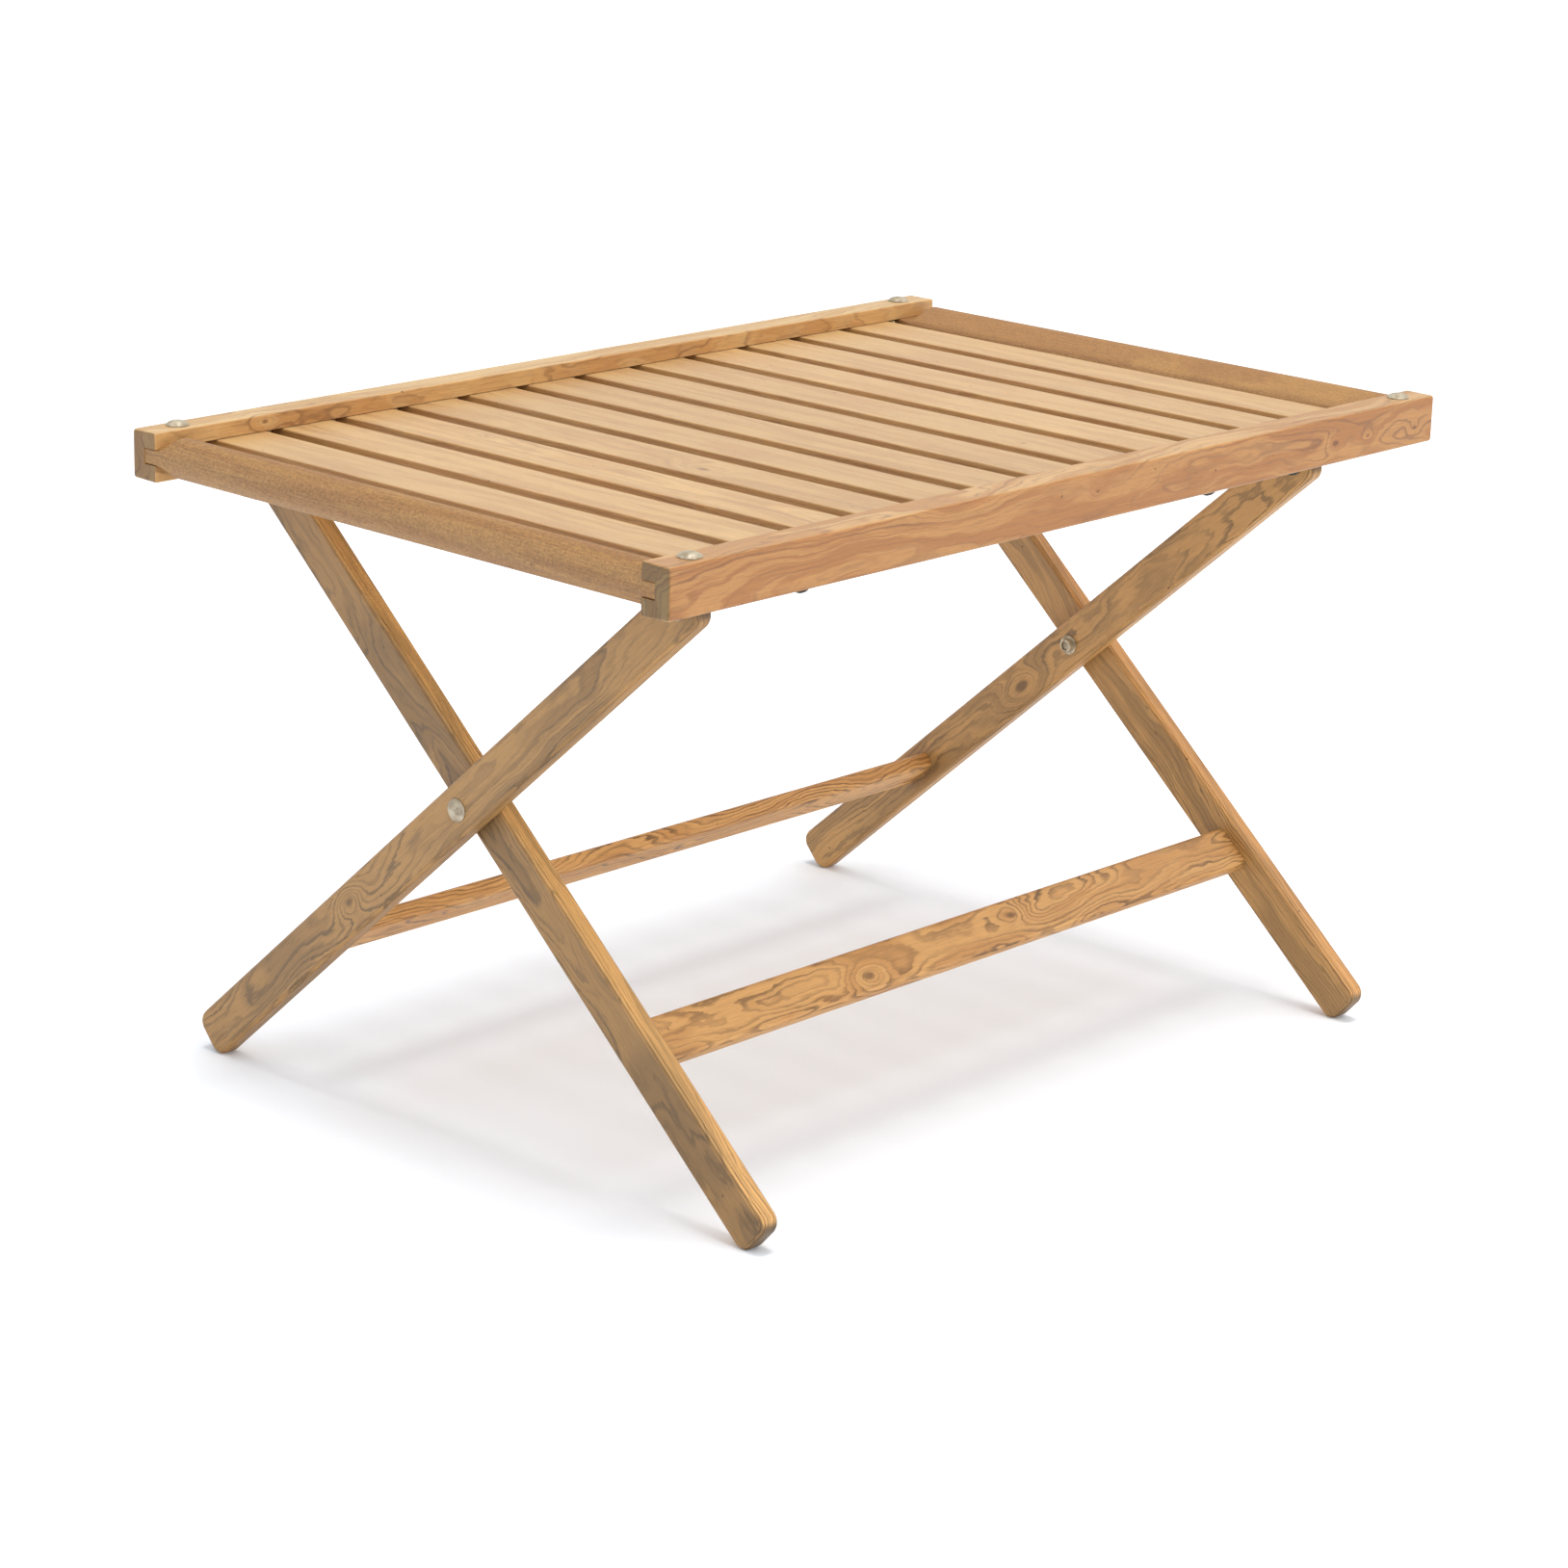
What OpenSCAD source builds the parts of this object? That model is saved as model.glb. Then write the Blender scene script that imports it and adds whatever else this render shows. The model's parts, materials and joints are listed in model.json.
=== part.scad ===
// Folding picnic table with a slatted top and crossed leg frames.
// +Z is up, the table's length runs along X, and the feet stand on Z = 0.
// The origin is on the floor, straight below the middle of the scissor pivots.
// Frame one is hinged under the near side (-Y). Frame two stops under the far side (+Y).

/* [Tabletop] */
// Length of the top along X
top_length = 900; // [700:10:1200]
// Depth of the top along Y, over both long rails
top_depth = 581; // [540:1:640]
// Height of the long rails' top faces above the floor
top_height = 528; // [524:0.5:540]
// How far the top sits towards +Y from the scissor pivots
top_offset = 2; // [0:0.5:4]
// Thickness of the long rails along Y
rail_thickness = 27.5; // [24:0.5:32]
// Height of the long rails
rail_height = 39; // [36:0.5:44]
// Width of the end rails along X
end_rail_width = 44.7; // [38:0.1:60]
// Height of the end rails at their full round outer side
end_rail_height = 32.4; // [26:0.1:34]
// Height of the end rails at their thinner inner side
end_rail_inner_height = 16; // [13:0.5:24]
// Length of the curved shoulder at an end rail's far end, between its body and its tenon
far_shoulder = 15; // [4:1:20]
// Length of the shoulder at its near end
near_shoulder = 3; // [2:0.5:20]

/* [Slats] */
// Number of slats
slat_count = 12; // [8:1:14]
// Width of a slat
slat_width = 51.1; // [40:0.1:55]
// Thickness of a slat
slat_thickness = 12; // [10:0.5:12]
// Depth of the rails' groove that the slats and tenons sit in
groove_depth = 13; // [10:0.5:15]
// Height of that groove
groove_height = 12.2; // [12.2:0.1:15]
// Height of the groove's floor above the long rails' underside
groove_floor = 13.5; // [11:0.5:14]
// Diameter of the pegs that space the slats
peg_diameter = 4.5; // [3:0.5:6]

/* [Legs] */
// Width of a leg board
leg_width = 38.4; // [34:0.1:42]
// Thickness of a leg board
leg_thickness = 17.6; // [15:0.1:19]
// Gap between a leg and the one it crosses
leg_gap = 2.6; // [2.4:0.1:4]
// Distance from the table's middle to the inner face of an inner leg
leg_inner_face = 342; // [300:1:345]
// Angle between a leg and the floor when the table stands open
leg_angle = 41.5; // [41:0.1:42]
// Length of a leg from its pivot to its upper end
leg_above_pivot = 317.7; // [314:0.1:319]
// Length of a leg from its pivot to its foot
leg_below_pivot = 398.7; // [396:0.1:402]
// Radius of a leg board's end corners
leg_corner = 11; // [6:0.5:14]
// Rounding of the legs' long edges
leg_edge = 3; // [1:0.5:4]

/* [Stretchers] */
// Thickness of a stretcher
stretcher_thickness = 14.5; // [12:0.5:17]
// Distance from the scissor pivot down the leg to the stretcher's middle
stretcher_drop = 228; // [200:1:260]

/* [Hardware] */
// Diameter of the carriage bolts
bolt_diameter = 8; // [6:1:8]
// Diameter of a carriage bolt's round head
head_diameter = 18.5; // [16:0.5:20]
// Height of a carriage bolt's round head
head_height = 4; // [3:0.5:5]
// Diameter of the hinge rod that the first leg frame swings on
rod_diameter = 10; // [8:1:10]

/* [Hidden] */
$fn = 48;

// Clearances
running = 0.05;        // radial, round a shaft or a dowel
side_gap = 0.3;        // between faces on pieces that turn past each other
cut = 1;               // how far a cutting shape runs past a face

// Tabletop
rail_under = top_height - rail_height;
rail_face = top_depth / 2 - rail_thickness;      // from the top's middle to a rail's inner face
rail_middle = top_depth / 2 - rail_thickness / 2;
groove_z = rail_under + groove_floor;
tenon_z = groove_z + groove_height / 2;
tenon_height = groove_height - 0.2;
end_rail_inner = top_length / 2 - end_rail_width - 0.5;
slat_gap = (2 * end_rail_inner - slat_count * slat_width) / (slat_count + 1);
slat_pitch = slat_width + slat_gap;
slat_length = 2 * (rail_face + groove_depth - 1);
slat_exposed = 2 * (rail_face - 0.5);            // a slat's full-thickness part, between its tongues
tongue_relief = 0.4;                             // planed off the top of a slat's tongues
rail_edge = 2.5;                                 // rounding of the long rails' edges
corner_bolt_x = top_length / 2 - 33;
corner_nut_height = 4.3;
nut_recess = 6;                                  // depth of the counterbores under the long rails

// Leg frames
outer_leg_face = leg_inner_face + 2 * leg_thickness + leg_gap;
inner_leg_outside = leg_inner_face + leg_thickness;
corner_along = leg_above_pivot - leg_corner;
corner_across = leg_width / 2 - leg_corner;
pivot_z = (leg_below_pivot - leg_corner) * sin(leg_angle) + corner_across * cos(leg_angle) + leg_corner;
hinge_from_end = 14.4;                           // hinge rod's axis below the leg's upper end
hinge_radius = leg_above_pivot - hinge_from_end;
hinge_y = -hinge_radius * cos(leg_angle);
hinge_z = pivot_z + hinge_radius * sin(leg_angle);
leg_top_z = pivot_z + corner_along * sin(leg_angle) + corner_across * cos(leg_angle) + leg_corner;
leg_top_y = corner_along * cos(leg_angle) + corner_across * sin(leg_angle) + leg_corner;
stretcher_length = leg_inner_face + inner_leg_outside + leg_gap;
dowel_diameter = 8;
dowel_in_leg = 12;
dowel_in_stretcher = 24;
dowel_spread = 18;

// Hardware
washer_thickness = 1.5;
washer_diameter = 17;
nut_flats = 12.7;
round_nut_diameter = 11.5;
round_nut_height = 4.5;
bolt_end_recess = 1.5;                           // from a round nut's rim down to the bolt's end
spacer_thickness = leg_gap - 0.4;
bracket_thickness = 3;
bracket_width = 19;
bracket_flange = 24;
bracket_screw_xs = [8, 18];
bracket_screw_length = 12;
bracket_gap = 0.5;                               // between a bracket and the leg beside it
bracket_xs = [leg_thickness - outer_leg_face + bracket_gap, -255, 225,
    leg_inner_face - bracket_gap - bracket_thickness];
screw_shank = 3.5;
screw_bore = screw_shank + 2 * running;
rest_width = 30;
rest_bottom = rail_under - 22.5;
rest_shelf = 41;                                 // how far the rest reaches over a leg's end
rest_screw_spread = 16;
rest_screw_length = 30;
rest_screw_z = rail_under + 6;

// 2D rectangle about the origin with rounded corners
module rounded_rectangle(width, height, radius) {
    square([width - 2 * radius, height], center = true);
    square([width, height - 2 * radius], center = true);
    for (x = [-1, 1], y = [-1, 1])
        translate([x * (width / 2 - radius), y * (height / 2 - radius)])
            circle(r = radius);
}

// Square-cut board along X with rounded long edges
module board_x(length, depth, height, radius) {
    rotate([90, 0, 90])
        linear_extrude(height = length, center = true)
            rounded_rectangle(depth, height, radius);
}

// Round bar along +Z with a small chamfer at its far end
module bar(diameter, length, chamfer = 0.6) {
    rotate_extrude()
        polygon([[0, 0], [diameter / 2, 0], [diameter / 2, length - chamfer],
            [diameter / 2 - chamfer, length], [0, length]]);
}

// Flat washer lying on Z = 0
module washer(inner, outer, thickness) {
    difference() {
        cylinder(d = outer, h = thickness);
        translate([0, 0, -cut])
            cylinder(d = inner, h = thickness + 2 * cut);
    }
}

// Hexagon nut lying on Z = 0, its top corners rounded off by a cone
module hex_nut(flats, height, bore) {
    difference() {
        intersection() {
            cylinder(d = flats / cos(30), h = height, $fn = 6);
            cylinder(r1 = flats / 2 + height + 0.6, r2 = flats / 2 - 0.1, h = height + 0.6);
        }
        translate([0, 0, -cut])
            cylinder(d = bore, h = height + 2 * cut);
    }
}

// Round nut lying on Z = 0, its top rim chamfered
module round_nut(diameter, height, bore) {
    difference() {
        bar(diameter, height, 0.8);
        translate([0, 0, -cut])
            cylinder(d = bore, h = height + 2 * cut);
    }
}

// Carriage bolt: shallow round head above Z = 0, shank below it
module carriage_bolt(length) {
    head_sphere = (pow(head_diameter / 2, 2) + pow(head_height - 1, 2)) / (2 * (head_height - 1));
    intersection() {
        translate([0, 0, head_height - head_sphere])
            sphere(r = head_sphere, $fn = 96);
        cylinder(d = head_diameter, h = head_height + cut);
    }
    rotate([180, 0, 0])
        bar(bolt_diameter, length);
}

// Countersunk wood screw: head flush with Z = 0, pointing down
module wood_screw(length) {
    point = 5;
    rotate_extrude()
        polygon([[0, 0], [screw_shank, 0], [screw_shank / 2, -screw_shank / 2],
            [screw_shank / 2, point - length], [0, -length]]);
}

// Cutter for a countersunk screw's hole: head side at Z = 0, running down
module screw_hole(depth) {
    rotate_extrude()
        polygon([[0, cut], [screw_shank + running, cut], [screw_shank + running, 0],
            [screw_bore / 2, -screw_shank / 2], [screw_bore / 2, -depth], [0, -depth]]);
}

// Places children at the four corner bolts, with Z = 0 at the given height
module at_corners(z) {
    for (x = [-1, 1], y = [-1, 1])
        translate([x * corner_bolt_x, top_offset + y * rail_middle, z])
            children();
}

// Places of the slat pegs: one at each slat's right edge, and a second beside the right end rail
peg_xs = concat(
    [for (i = [1 : slat_count]) slat_x(i) + slat_width / 2 + peg_diameter / 2 + 0.1],
    [slat_x(slat_count) + slat_width / 2 + peg_diameter * 1.5 + 1.5]);

function slat_x(i) = -end_rail_inner + slat_gap + slat_width / 2 + (i - 1) * slat_pitch;

module at_pegs(side) {
    for (x = peg_xs)
        translate([x, side * (rail_face + peg_diameter / 2 + 0.4), groove_z - 6])
            children();
}

// Long rail, grooved on its inner face; side is -1 for the near rail and 1 for the far one
module long_rail(side) {
    translate([0, top_offset, 0])
        difference() {
            translate([0, side * rail_middle, rail_under + rail_height / 2])
                board_x(top_length, rail_thickness, rail_height, rail_edge);
            translate([0, side * (rail_face + groove_depth / 2 - cut / 2), tenon_z])
                cube([top_length + 2 * cut, groove_depth + cut, groove_height], center = true);
            for (x = [-1, 1])
                translate([x * corner_bolt_x, side * rail_middle, rail_under - cut]) {
                    cylinder(d = bolt_diameter + 2 * running, h = rail_height + 2 * cut);
                    cylinder(d = washer_diameter + 1, h = nut_recess + cut);
                }
            at_pegs(side)
                cylinder(d = peg_diameter + 2 * running, h = 8);
            if (side > 0)
                for (x = [-1, 1], s = [-1, 1])
                    translate([x * rest_middle(x) + s * rest_screw_spread / 2, rail_face - cut, rest_screw_z])
                        rotate([-90, 0, 0])
                            cylinder(d = screw_bore, h = groove_depth + cut);
        }
}

// Middle of a leg rest along X, from the table's middle: over the inner leg at the left (-1)
// and over the outer leg at the right (1)
function rest_middle(x) = x < 0 ? leg_inner_face + leg_thickness / 2
    : outer_leg_face - leg_thickness / 2;

module near_rail() {
    color("burlywood")
        long_rail(-1);
}

module far_rail() {
    color("burlywood")
        long_rail(1);
}

// Upper half of an end rail's outline seen along X: body, curved shoulders, tenons
shoulder_steps = 8;
shoulder_drop = (end_rail_height - tenon_height) / 2;
end_rail_half = rail_face + groove_depth - 0.1;
function shoulder(t) = end_rail_height / 2 - shoulder_drop * (1 - cos(180 * t)) / 2;
upper_outline = concat(
    [[-end_rail_half, tenon_height / 2]],
    [for (i = [shoulder_steps : -1 : 0]) let (t = i / shoulder_steps)
        [-rail_face + near_shoulder * (1 - t), shoulder(t)]],
    [for (i = [0 : shoulder_steps]) let (t = i / shoulder_steps)
        [rail_face - far_shoulder * (1 - t), shoulder(t)]],
    [[end_rail_half, tenon_height / 2]]);
lower_outline = [for (i = [len(upper_outline) - 1 : -1 : 0]) [upper_outline[i][0], -upper_outline[i][1]]];

// Section of an end rail: full round outside, thinner inside; side is -1 for left and 1 for right
module end_rail_section(side) {
    outer = end_rail_height / 2;
    inner = end_rail_inner_height / 2;
    outer_x = side * (end_rail_width / 2 - outer);
    inner_x = -side * (end_rail_width / 2 - inner);
    taper = asin((outer - inner) / (end_rail_width - outer - inner));
    lean = -side * sin(taper);
    translate([outer_x, 0])
        circle(r = outer, $fn = 96);
    translate([inner_x, 0])
        circle(r = inner, $fn = 96);
    polygon(concat(
        [for (up = [-side, side]) [outer_x + outer * lean, up * outer * cos(taper)]],
        [for (up = [side, -side]) [inner_x + inner * lean, up * inner * cos(taper)]]));
}

// End rail: a rounded bar whose ends narrow to tenons
module end_rail(side) {
    translate([side * (end_rail_inner + end_rail_width / 2), top_offset, tenon_z])
        difference() {
            intersection() {
                rotate([90, 0, 0])
                    linear_extrude(height = 2 * end_rail_half, center = true)
                        end_rail_section(side);
                rotate([90, 0, 90])
                    linear_extrude(height = end_rail_width + 2 * cut, center = true)
                        polygon(concat(upper_outline, lower_outline));
            }
            for (y = [-1, 1])
                translate([side * (corner_bolt_x - end_rail_inner - end_rail_width / 2), y * rail_middle, 0])
                    cylinder(d = bolt_diameter + 2 * running, h = end_rail_height, center = true);
        }
}

module left_end_rail() {
    color("tan")
        end_rail(-1);
}

module right_end_rail() {
    color("tan")
        end_rail(1);
}

// One slat, numbered from the left. Its tongues are a little thinner, to slide into the grooves
module slat(i) {
    color(i % 2 == 0 ? "wheat" : "navajowhite")
        difference() {
            translate([slat_x(i), top_offset, groove_z + slat_thickness / 2])
                rotate([0, 0, 90])
                    board_x(slat_length, slat_width, slat_thickness, 1.5);
            for (side = [-1, 1])
                translate([slat_x(i), top_offset + side * slat_length / 2, groove_z + slat_thickness])
                    cube([slat_width + 2 * cut, slat_length - slat_exposed, 2 * tongue_relief],
                        center = true);
            at_bracket_screws()
                translate([0, 0, -bracket_screw_length])
                    cylinder(d = screw_bore, h = bracket_screw_length);
        }
}

module slat_pegs() {
    color("blanchedalmond")
        translate([0, top_offset, 0])
            for (side = [-1, 1])
                at_pegs(side)
                    bar(peg_diameter, slat_thickness + 5);
}

module corner_bolts() {
    color("silver")
        at_corners(top_height)
            carriage_bolt(rail_height - nut_recess + washer_thickness + corner_nut_height);
}

module corner_washers() {
    color("lightgray")
        at_corners(rail_under + nut_recess - washer_thickness)
            washer(bolt_diameter + 2 * running, washer_diameter, washer_thickness);
}

module corner_nuts() {
    color("lightgray")
        at_corners(rail_under + nut_recess - washer_thickness)
            rotate([180, 0, 0])
                hex_nut(nut_flats, corner_nut_height, bolt_diameter + 2 * running);
}

// Hinge rod through the first frame's leg tops, with a washer and a nut at each end
rod_left = -outer_leg_face - side_gap;
rod_right = inner_leg_outside + side_gap;
rod_nut_height = 5;
rod_overrun = washer_thickness + rod_nut_height + 1;

module hinge_rod() {
    rod_start = rod_left - rod_overrun;
    color("silver")
        translate([rod_start, hinge_y, hinge_z])
            rotate([0, 90, 0])
                bar(rod_diameter, rod_right + rod_overrun - rod_start);
}

module at_rod_ends() {
    translate([rod_left, hinge_y, hinge_z])
        rotate([0, -90, 0])
            children();
    translate([rod_right, hinge_y, hinge_z])
        rotate([0, 90, 0])
            children();
}

module hinge_rod_washers() {
    color("lightgray")
        at_rod_ends()
            washer(rod_diameter + 2 * running, washer_diameter, washer_thickness);
}

module hinge_rod_nuts() {
    color("lightgray")
        at_rod_ends()
            translate([0, 0, washer_thickness])
                hex_nut(15, rod_nut_height, rod_diameter + 2 * running);
}

// Steel angles that hang the hinge rod under the slats
module at_brackets() {
    for (x = bracket_xs)
        translate([x, hinge_y, 0])
            children();
}

module at_bracket_screws() {
    at_brackets()
        for (x = bracket_screw_xs)
            translate([x, 0, groove_z - bracket_thickness])
                rotate([180, 0, 0])
                    children();
}

module hinge_brackets() {
    bracket_drop = bracket_width / 2;
    color("dimgray")
        difference() {
            at_brackets() {
                translate([0, -bracket_width / 2, groove_z - bracket_thickness])
                    cube([bracket_flange, bracket_width, bracket_thickness]);
                translate([0, -bracket_width / 2, hinge_z])
                    cube([bracket_thickness, bracket_width, groove_z - hinge_z - bracket_thickness / 2]);
                translate([0, 0, hinge_z])
                    rotate([0, 90, 0])
                        cylinder(r = bracket_drop, h = bracket_thickness);
            }
            at_brackets()
                translate([-cut, 0, hinge_z])
                    rotate([0, 90, 0])
                        cylinder(d = rod_diameter + 2 * running, h = bracket_thickness + 2 * cut);
            at_bracket_screws()
                screw_hole(bracket_thickness + cut);
        }
}

module hinge_bracket_screws() {
    color("silver")
        at_bracket_screws()
            wood_screw(bracket_screw_length);
}

// Rebated block under the far side: its shelf lies over a leg's end, its lip stops the leg
module leg_rest(side) {
    stop_y = leg_top_y + side_gap;
    shelf_z = leg_top_z + side_gap;
    rail_y = top_offset + rail_face;
    color("peru")
        translate([side * rest_middle(side), 0, 0])
            difference() {
                union() {
                    translate([-rest_width / 2, stop_y - rest_shelf, shelf_z])
                        cube([rest_width, rail_y - stop_y + rest_shelf, groove_z - shelf_z]);
                    translate([-rest_width / 2, stop_y, rest_bottom])
                        cube([rest_width, rail_y - stop_y, groove_z - rest_bottom]);
                }
                for (s = [-1, 1])
                    translate([s * rest_screw_spread / 2, stop_y, rest_screw_z])
                        rotate([90, 0, 0])
                            screw_hole(rest_screw_length);
            }
}

module leg_rest_left() {
    leg_rest(-1);
}

module leg_rest_right() {
    leg_rest(1);
}

module leg_rest_screws() {
    color("silver")
        for (side = [-1, 1], s = [-1, 1])
            translate([side * rest_middle(side) + s * rest_screw_spread / 2,
                leg_top_y + side_gap, rest_screw_z])
                rotate([90, 0, 0])
                    wood_screw(rest_screw_length);
}

// Leg board standing on its pivot: +Z towards its upper end, its bores along X
module leg_board(hinged, dowels_on) {
    difference() {
        intersection() {
            translate([0, 0, -leg_below_pivot])
                linear_extrude(height = leg_above_pivot + leg_below_pivot)
                    rounded_rectangle(leg_thickness, leg_width, leg_edge);
            translate([0, 0, (leg_above_pivot - leg_below_pivot) / 2])
                rotate([90, 0, 90])
                    linear_extrude(height = leg_thickness + 2 * cut, center = true)
                        rounded_rectangle(leg_width, leg_above_pivot + leg_below_pivot, leg_corner);
        }
        rotate([0, 90, 0])
            cylinder(d = bolt_diameter + 2 * running, h = leg_thickness + 2 * cut, center = true);
        if (hinged)
            translate([0, 0, hinge_radius])
                rotate([0, 90, 0])
                    cylinder(d = rod_diameter + 2 * running, h = leg_thickness + 2 * cut, center = true);
        for (s = [-1, 1])
            translate([dowels_on * leg_thickness / 2, 0, s * dowel_spread / 2 - stretcher_drop])
                rotate([0, 90, 0])
                    cylinder(d = dowel_diameter + 2 * running, h = 2 * dowel_in_leg + 0.4, center = true);
    }
}

// Turns children from the upright leg to its place; frame is 1 or 2
module in_frame(frame) {
    translate([0, 0, pivot_z])
        rotate([(frame == 1 ? 1 : -1) * (90 - leg_angle), 0, 0])
            children();
}

inner_leg_x = leg_inner_face + leg_thickness / 2;
outer_leg_x = outer_leg_face - leg_thickness / 2;

module leg_left_outer() {
    color("tan")
        in_frame(1)
            translate([-outer_leg_x, 0, 0])
                leg_board(true, 1);
}

module leg_right_inner() {
    color("tan")
        in_frame(1)
            translate([inner_leg_x, 0, 0])
                leg_board(true, -1);
}

module leg_left_inner() {
    color("burlywood")
        in_frame(2)
            translate([-inner_leg_x, 0, 0])
                leg_board(false, 1);
}

module leg_right_outer() {
    color("burlywood")
        in_frame(2)
            translate([outer_leg_x, 0, 0])
                leg_board(false, -1);
}

// Stretcher between a frame's legs; shift is -1 for frame one and 1 for frame two
module stretcher(shift) {
    translate([shift * (leg_thickness + leg_gap) / 2, 0, -stretcher_drop])
        difference() {
            board_x(stretcher_length, stretcher_thickness, leg_width, leg_edge);
            for (x = [-1, 1], s = [-1, 1])
                translate([x * stretcher_length / 2, 0, s * dowel_spread / 2])
                    rotate([0, 90, 0])
                        cylinder(d = dowel_diameter + 2 * running, h = 2 * dowel_in_stretcher + 0.4,
                            center = true);
        }
}

module stretcher_dowels(shift) {
    for (x = [-1, 1], s = [-1, 1])
        translate([shift * (leg_thickness + leg_gap) / 2 + x * stretcher_length / 2, 0,
            s * dowel_spread / 2 - stretcher_drop])
            rotate([0, x * 90, 0])
                translate([0, 0, -dowel_in_stretcher])
                    bar(dowel_diameter, dowel_in_stretcher + dowel_in_leg);
}

module far_stretcher() {
    color("sandybrown")
        in_frame(1)
            stretcher(-1);
}

module near_stretcher() {
    color("sandybrown")
        in_frame(2)
            stretcher(1);
}

module far_stretcher_dowels() {
    color("wheat")
        in_frame(1)
            stretcher_dowels(-1);
}

module near_stretcher_dowels() {
    color("wheat")
        in_frame(2)
            stretcher_dowels(1);
}

// Places children at both scissor pivots, the given distance from the table's middle,
// with +Z pointing outwards
module at_pivots(left, right) {
    translate([-left, 0, pivot_z])
        rotate([0, -90, 0])
            children();
    translate([right, 0, pivot_z])
        rotate([0, 90, 0])
            children();
}

// The bolts turn with frame one, so they leave side_gap against frame two's legs
nut_face_left = leg_inner_face - side_gap;
nut_face_right = leg_inner_face;

module pivot_bolts() {
    past_nut = washer_thickness + round_nut_height - bolt_end_recess;
    color("silver") {
        translate([-outer_leg_face, 0, pivot_z])
            rotate([0, -90, 0])
                carriage_bolt(outer_leg_face - nut_face_left + past_nut);
        translate([outer_leg_face + side_gap, 0, pivot_z])
            rotate([0, 90, 0])
                carriage_bolt(outer_leg_face + side_gap - nut_face_right + past_nut);
    }
}

module pivot_spacer_washers() {
    color("lightgray")
        at_pivots(outer_leg_face - leg_thickness, inner_leg_outside + spacer_thickness)
            translate([0, 0, -spacer_thickness])
                washer(bolt_diameter + 2 * running, washer_diameter, spacer_thickness);
}

module pivot_nut_washers() {
    color("lightgray")
        at_pivots(nut_face_left, nut_face_right)
            translate([0, 0, -washer_thickness])
                washer(bolt_diameter + 2 * running, washer_diameter, washer_thickness);
}

module pivot_nuts() {
    color("lightgray")
        at_pivots(nut_face_left - washer_thickness, nut_face_right - washer_thickness)
            rotate([180, 0, 0])
                round_nut(round_nut_diameter, round_nut_height, bolt_diameter + 2 * running);
}

near_rail();
far_rail();
left_end_rail();
right_end_rail();
slat(1);  // slat_01
slat(2);  // slat_02
slat(3);  // slat_03
slat(4);  // slat_04
slat(5);  // slat_05
slat(6);  // slat_06
slat(7);  // slat_07
slat(8);  // slat_08
slat(9);  // slat_09
slat(10);  // slat_10
slat(11);  // slat_11
slat(12);  // slat_12
slat_pegs();
corner_bolts();
corner_washers();
corner_nuts();
hinge_rod();
hinge_brackets();
hinge_bracket_screws();
hinge_rod_washers();
hinge_rod_nuts();
leg_rest_left();
leg_rest_right();
leg_rest_screws();
leg_left_outer();
leg_right_inner();
far_stretcher();
far_stretcher_dowels();
leg_left_inner();
leg_right_outer();
near_stretcher();
near_stretcher_dowels();
pivot_bolts();
pivot_spacer_washers();
pivot_nut_washers();
pivot_nuts();
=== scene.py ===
"""Folding picnic table: boards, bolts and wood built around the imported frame."""
import json
import math
import random
from dataclasses import dataclass, replace

import bmesh
import bpy
from mathutils import Matrix, Vector


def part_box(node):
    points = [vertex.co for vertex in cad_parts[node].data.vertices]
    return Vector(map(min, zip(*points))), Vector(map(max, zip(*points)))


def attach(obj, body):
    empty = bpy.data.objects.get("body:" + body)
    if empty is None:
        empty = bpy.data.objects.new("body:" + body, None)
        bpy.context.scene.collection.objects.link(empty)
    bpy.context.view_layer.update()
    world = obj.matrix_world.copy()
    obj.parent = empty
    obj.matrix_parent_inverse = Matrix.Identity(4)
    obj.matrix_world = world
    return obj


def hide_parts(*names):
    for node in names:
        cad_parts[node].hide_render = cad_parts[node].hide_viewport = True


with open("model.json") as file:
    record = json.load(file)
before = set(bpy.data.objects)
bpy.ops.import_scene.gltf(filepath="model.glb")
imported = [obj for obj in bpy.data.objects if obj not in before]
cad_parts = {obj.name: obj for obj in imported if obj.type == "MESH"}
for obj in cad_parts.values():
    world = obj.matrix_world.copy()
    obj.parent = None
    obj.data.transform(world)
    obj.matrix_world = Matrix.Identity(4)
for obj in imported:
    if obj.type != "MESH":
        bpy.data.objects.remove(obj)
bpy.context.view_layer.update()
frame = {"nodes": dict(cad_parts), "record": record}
scene = bpy.context.scene
MM = 0.001                       # one millimetre in the frame's metres
IN_MM = (1000, 1000, 1000)       # turns a place in metres into millimetres
X, Y = Vector((1, 0, 0)), Vector((0, 1, 0))
joints = {joint["name"]: joint for joint in frame["record"]["behaviour"]["joints"]}
PIVOT = Vector(joints["scissor"]["pos_m"])
HINGE = Vector(joints["frame_one_hinge"]["pos_m"])
FRAME_ONE_UP = (HINGE - PIVOT).normalized()
FRAME_TWO_UP = Vector((0, -FRAME_ONE_UP.y, FRAME_ONE_UP.z))


# ---------------------------------------------------------------- shader graph helpers

def srgb(red, green, blue):
    """Linear RGBA from 0-255 display values."""
    def linear(value):
        value /= 255
        return value / 12.92 if value <= 0.04045 else ((value + 0.055) / 1.055) ** 2.4
    return (linear(red), linear(green), linear(blue), 1)


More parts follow.
